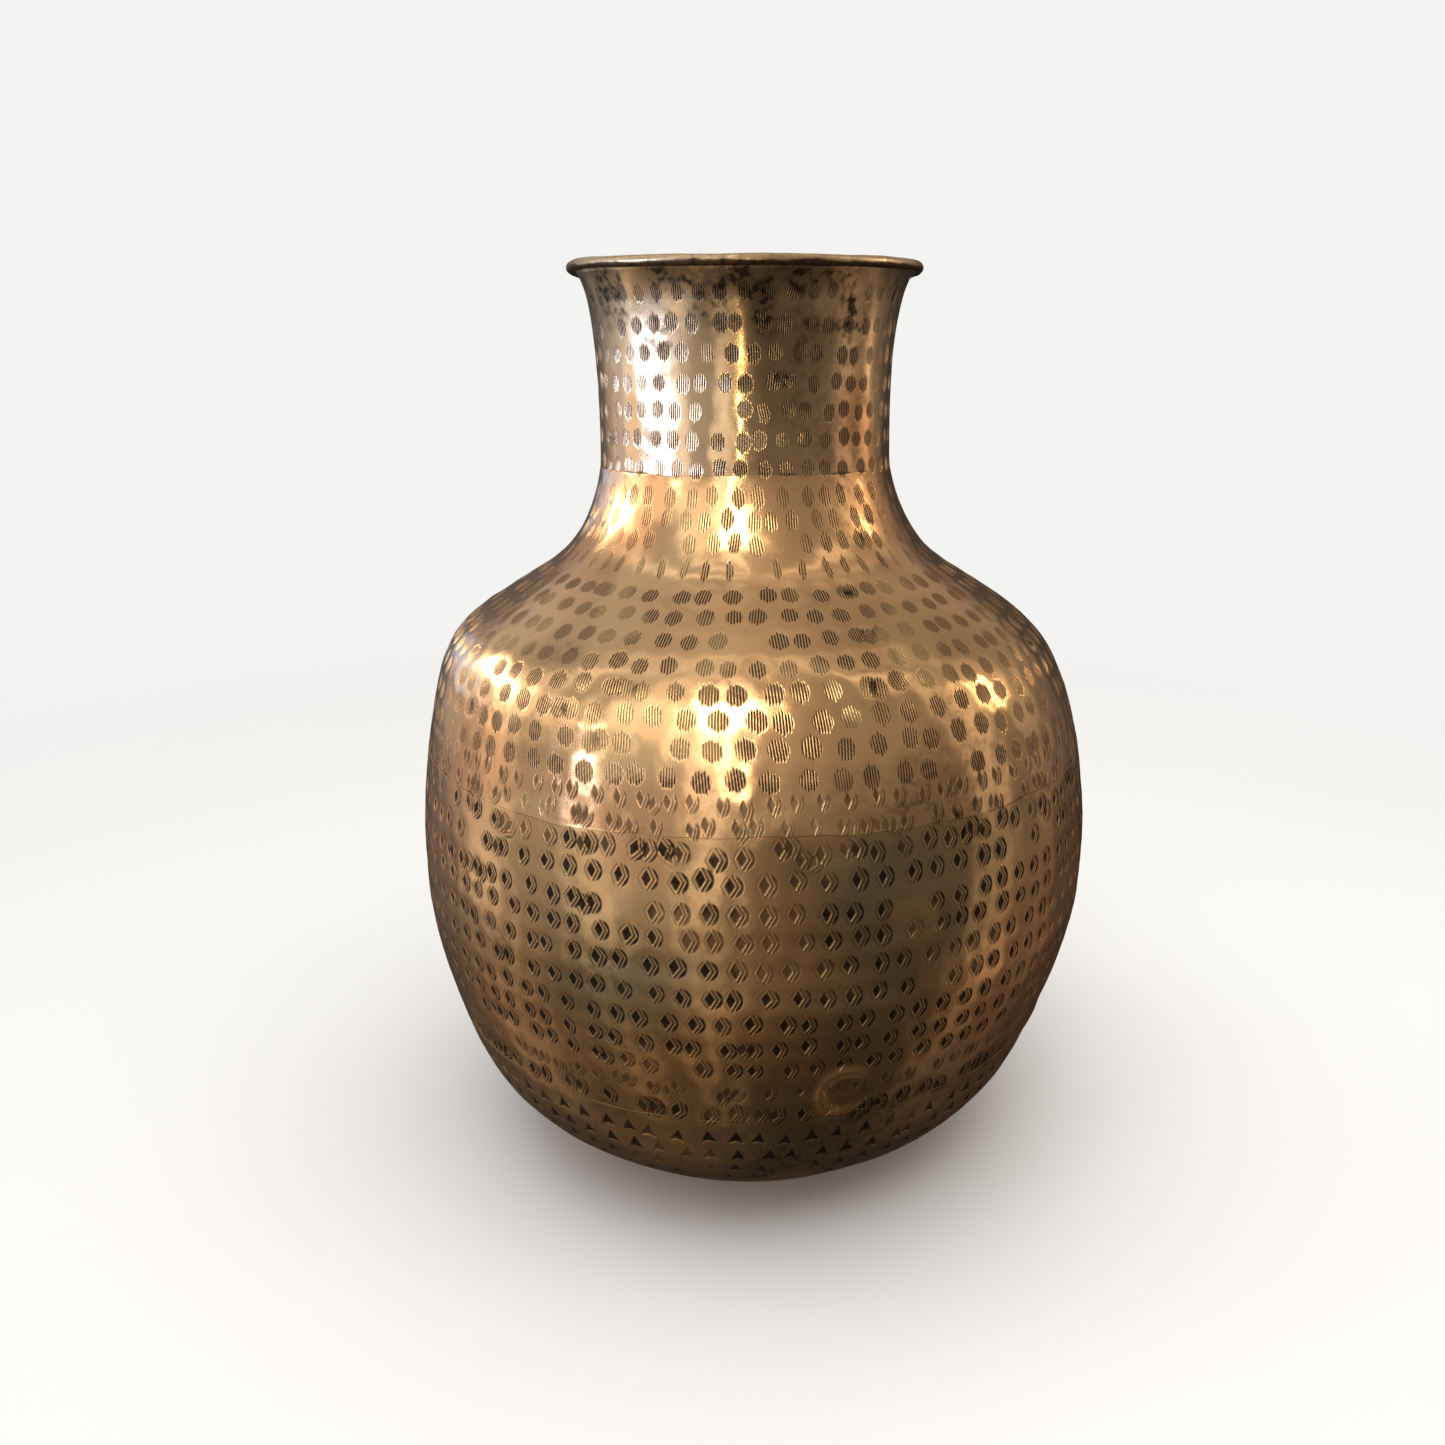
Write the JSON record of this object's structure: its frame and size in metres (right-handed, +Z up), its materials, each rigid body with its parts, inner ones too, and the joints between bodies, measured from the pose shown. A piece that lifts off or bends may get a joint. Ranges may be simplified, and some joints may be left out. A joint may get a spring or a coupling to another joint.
{
  "type": "brass water pot",
  "caption": "Tall hammered brass kalash: round belly, sloping shoulder, straight open neck with a rolled rim, stamped all over with small ribbed and chevron punch marks.",
  "frame": {"origin": "centre of the flat patch under the base, on the surface that the pot stands on", "axes": "+Z up along the pot's axis, out of the mouth; +X to the right and -Y towards the viewer; the body is round, so X and Y are free"},
  "size_m": [0.359, 0.359, 0.462],
  "materials": {
    "base_brass": "hammered and punched, brown patina",
    "belly_brass": "hammered and stamped, worn, dark patina in the marks",
    "shoulder_brass": "hammered and stamped, worn to a soft shine",
    "neck_brass": "hammered and stamped, handled to a warm shine",
    "braze_filler": "dull, uneven filler metal",
    "wire_steel": "dull, lightly rusted"
  },
  "bodies": {
    "root": {"base_dish": "base_brass", "base_seam_braze": "braze_filler", "belly_shell": "belly_brass", "belly_seam_braze": "braze_filler", "shoulder_shell": "shoulder_brass", "neck_seam_braze": "braze_filler", "neck_collar": "neck_brass", "rim_wire": "wire_steel"}
  },
  "joints": []
}
